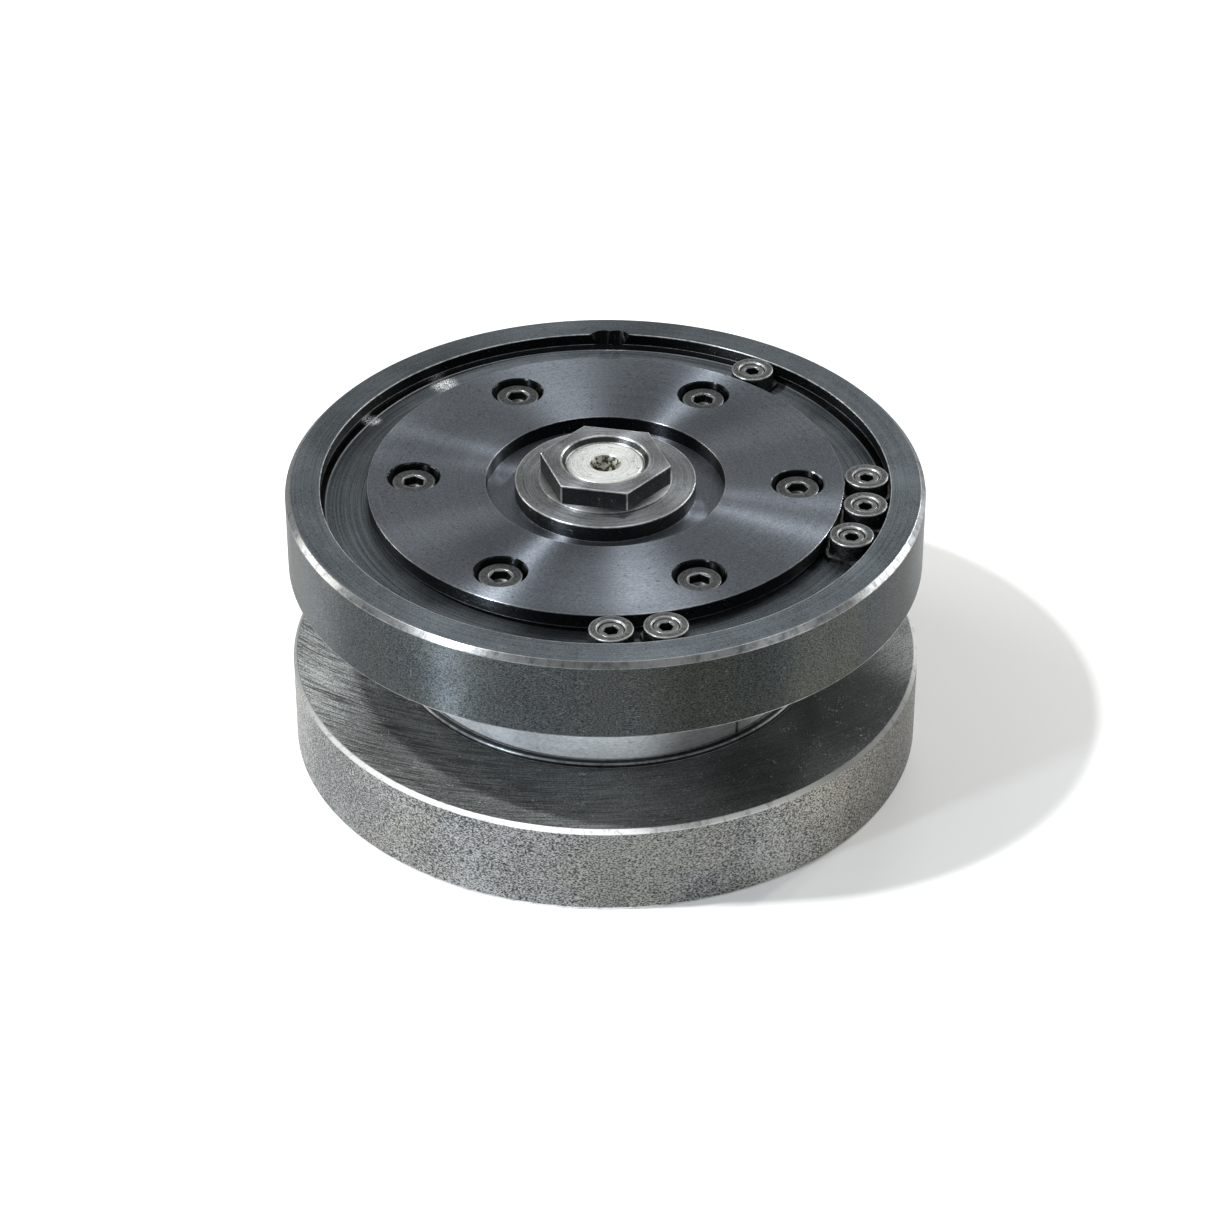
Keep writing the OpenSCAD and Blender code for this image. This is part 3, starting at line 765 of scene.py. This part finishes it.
def make_nut():
    """The flanged nut: a turned flange and step with a milled hexagon on top."""
    flange_top = recess_z + 5.6
    step_top = flange_top + 0.6
    corner_r = NUT_AF / math.sqrt(3)
    step_r = corner_r + 0.15
    bore_r = THREAD_R + FIT
    mouth = 1.75
    outline = [
        (bore_r, recess_z), (nut_flange_r, recess_z), (nut_flange_r, flange_top),
        (step_r, flange_top), (step_r, step_top), (corner_r, step_top, 6),
        (corner_r, nut_top, 6), (bore_r + mouth, nut_top), (bore_r, nut_top - mouth)
    ]
    nut = lathe("spindle_nut_turned", rounded(outline, 0.25), SEGMENTS, NUT_ANGLE, worn_corners=True)
    finish_piece(nut, "head", nut_steel, ["spindle_nut"])


def make_spindle():
    """The spindle, with the centre hole in its upper end."""
    shaft_r, shaft_chamfer, shaft_top = 15.0, 1.0, 56.0
    shoulder_r, shoulder_top = 18.0, 57.5
    collar_r, collar_top = 22.0, 60.0
    taper_r0, taper_r1, taper_top = 19.5, 18.05, 74.5
    chamfer = 0.6
    cone_r, drill_r, cone_depth, hole_depth = 4.85, 1.6, 5.6, 9.0
    outline = [
        (0, spindle_bottom), (shaft_r - shaft_chamfer, spindle_bottom),
        (shaft_r, spindle_bottom + shaft_chamfer), (shaft_r, shaft_top), (shoulder_r, shaft_top),
        (shoulder_r, shoulder_top), (collar_r, shoulder_top), (collar_r, collar_top),
        (taper_r0, collar_top), (taper_r1, taper_top), (THREAD_R, taper_top),
        (THREAD_R, spindle_top - chamfer), (THREAD_R - chamfer, spindle_top),
        (cone_r, spindle_top), (drill_r, spindle_top - cone_depth),
        (drill_r, spindle_top - hole_depth), (0, spindle_top - hole_depth)
    ]
    spindle = lathe("spindle_turned", rounded(outline, 0.2), SMALL_SEGMENTS)
    finish_piece(spindle, "head", spindle_steel, ["spindle"])


def make_weight(i, angle):
    """A round weight with a foot under both lips, and a hole for its set screw."""
    foot_r, foot_w, body_r, hole_r, foot_h = 8.4, 13.6, 6.75, 4.05, 1.35
    low, high = (corner.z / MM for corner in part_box(f"balance_weight_{i}"))
    outline = [
        (hole_r, low), (foot_r, low), (foot_r, low + foot_h), (body_r, low + foot_h), (body_r, high),
        (hole_r + 0.4, high), (hole_r, high - 0.4)
    ]
    weight = lathe(f"balance_weight_{i}_turned", rounded(outline, 0.3), SMALL_SEGMENTS)
    past = 12.0                             # clear of the foot on every side
    flats = []
    for side in (-1, 1):
        across = sorted((side * foot_w / 2, side * past))
        flats.append(block("flat", (-past, past), across, (low - 1, low + foot_h + 1)))
    cut(weight, flats)
    place(weight, GROOVE_MID_R, angle)
    finish_piece(weight, f"weight_{i}", weight_steel, [f"balance_weight_{i}"])


def make_set_screw(i, angle):
    """The socket set screw that locks a weight."""
    screw_r, socket, depth = 4.0, 4.0, 3.2
    low, top = (corner.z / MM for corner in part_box(f"set_screw_{i}"))
    outline = [(0, low), (screw_r - 0.3, low), (screw_r, low + 0.5), (screw_r, top - 0.4),
               (screw_r - 0.4, top), *socket_outline(top, socket, depth)]
    screw = lathe(f"set_screw_{i}_turned", rounded(outline, 0.12), SMALL_SEGMENTS)
    turn = 17 * i                           # so that no two sockets stand alike
    place(screw, GROOVE_MID_R, angle, turn)
    finish_piece(screw, f"lock_screw_{i}", set_screw_steel, [f"set_screw_{i}"])


make_base()
make_dust_ring()
make_hub()
make_flange()
make_plate()
make_clamp_screws()
make_nut()
make_spindle()
for index, weight_angle in enumerate(WEIGHT_ANGLES, 1):
    make_weight(index, weight_angle)
    make_set_screw(index, weight_angle)

# ---------------------------------------------------------------- inner CAD nodes

INNER = {
    "bearing_housing": housing_iron, "housing_screws": screw_steel, "bearing_cap": cover_steel,
    "cap_screws": screw_steel, "bottom_cover": cover_steel, "cover_screws": screw_steel,
    "outer_spacer": cover_steel, "inner_spacer": cover_steel, "lock_washer": cover_steel,
    "lock_nut": nut_steel
}
for level in ("lower", "upper"):
    INNER[f"{level}_outer_race"] = bearing_steel
    INNER[f"{level}_inner_race"] = bearing_steel
    INNER[f"{level}_balls"] = ball_steel
    INNER[f"{level}_ball_cage"] = cage_brass
for node, material in INNER.items():
    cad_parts[node].data.materials.clear()
    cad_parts[node].data.materials.append(material)

# ---------------------------------------------------------------- stage

def make_floor():
    """A plain pale floor."""
    half = 4.0                              # in metres
    corners = [(-half, -half, 0), (half, -half, 0), (half, half, 0), (-half, half, 0)]
    mesh = bpy.data.meshes.new("floor")
    mesh.from_pydata(corners, [], [(0, 1, 2, 3)])
    floor = bpy.data.objects.new("floor", mesh)
    bpy.context.scene.collection.objects.link(floor)
    paint = bpy.data.materials.new("floor_paint")
    paint.use_nodes = True
    shader = paint.node_tree.nodes["Principled BSDF"]
    shader.inputs["Base Color"].default_value = (0.92, 0.92, 0.92, 1)
    shader.inputs["Roughness"].default_value = 0.9
    mesh.materials.append(paint)


def softbox(name, distance, azimuth, elevation, width, power, colour=(1.0, 1.0, 1.0)):
    """A square area light that looks at the object. Its distance and width are in metres."""
    middle = Vector((0, 0, 0.06))
    light = bpy.data.lights.new(name, "AREA")
    light.shape = "SQUARE"
    light.size = width
    light.energy = power
    light.color = colour
    lamp = bpy.data.objects.new(name, light)
    turn, rise = math.radians(azimuth), math.radians(elevation)
    toward = Vector((math.cos(turn) * math.cos(rise), math.sin(turn) * math.cos(rise), math.sin(rise)))
    lamp.location = middle + distance * toward
    lamp.rotation_euler = toward.to_track_quat("Z", "Y").to_euler()
    bpy.context.scene.collection.objects.link(lamp)


def make_camera():
    """The camera at the height, distance and focal length that the visible circles give."""
    lens = bpy.data.cameras.new("camera")
    lens.lens = 115.65
    lens.sensor_width = 36.0
    camera = bpy.data.objects.new("camera", lens)
    where = Vector((0.0005, -1.0258, 0.7495))       # both in metres
    target = Vector((0.0005, 0.0, 0.0431))
    camera.location = where
    camera.rotation_euler = (target - where).to_track_quat("-Z", "Y").to_euler()
    bpy.context.scene.collection.objects.link(camera)
    bpy.context.scene.camera = camera


def make_world():
    """An even pale surround."""
    world = bpy.data.worlds.new("world")
    world.use_nodes = True
    background = world.node_tree.nodes["Background"]
    background.inputs["Color"].default_value = (1.0, 1.0, 0.98, 1)
    background.inputs["Strength"].default_value = 0.48
    bpy.context.scene.world = world


make_floor()
make_world()
# Each light's distance, azimuth, elevation, width and power, and its colour where it isn't white
softbox("key_left", 1.3, -168, 59, 0.07, 15)
softbox("front_left", 1.3, -142, 12, 0.11, 8, (0.78, 0.89, 1.0))
softbox("left", 1.4, 160, 15, 0.60, 8, (1.0, 0.98, 0.92))
softbox("right", 1.4, 12, 15, 0.50, 3, (1.0, 0.99, 0.92))
softbox("right_rear", 1.5, 42, 35, 0.08, 4.5)
softbox("right_rear_low", 1.5, 51, 24, 0.08, 2.5)
softbox("overhead", 1.6, 77, 63, 0.25, 2.2)
make_camera()
bpy.context.scene.view_settings.view_transform = "Standard"
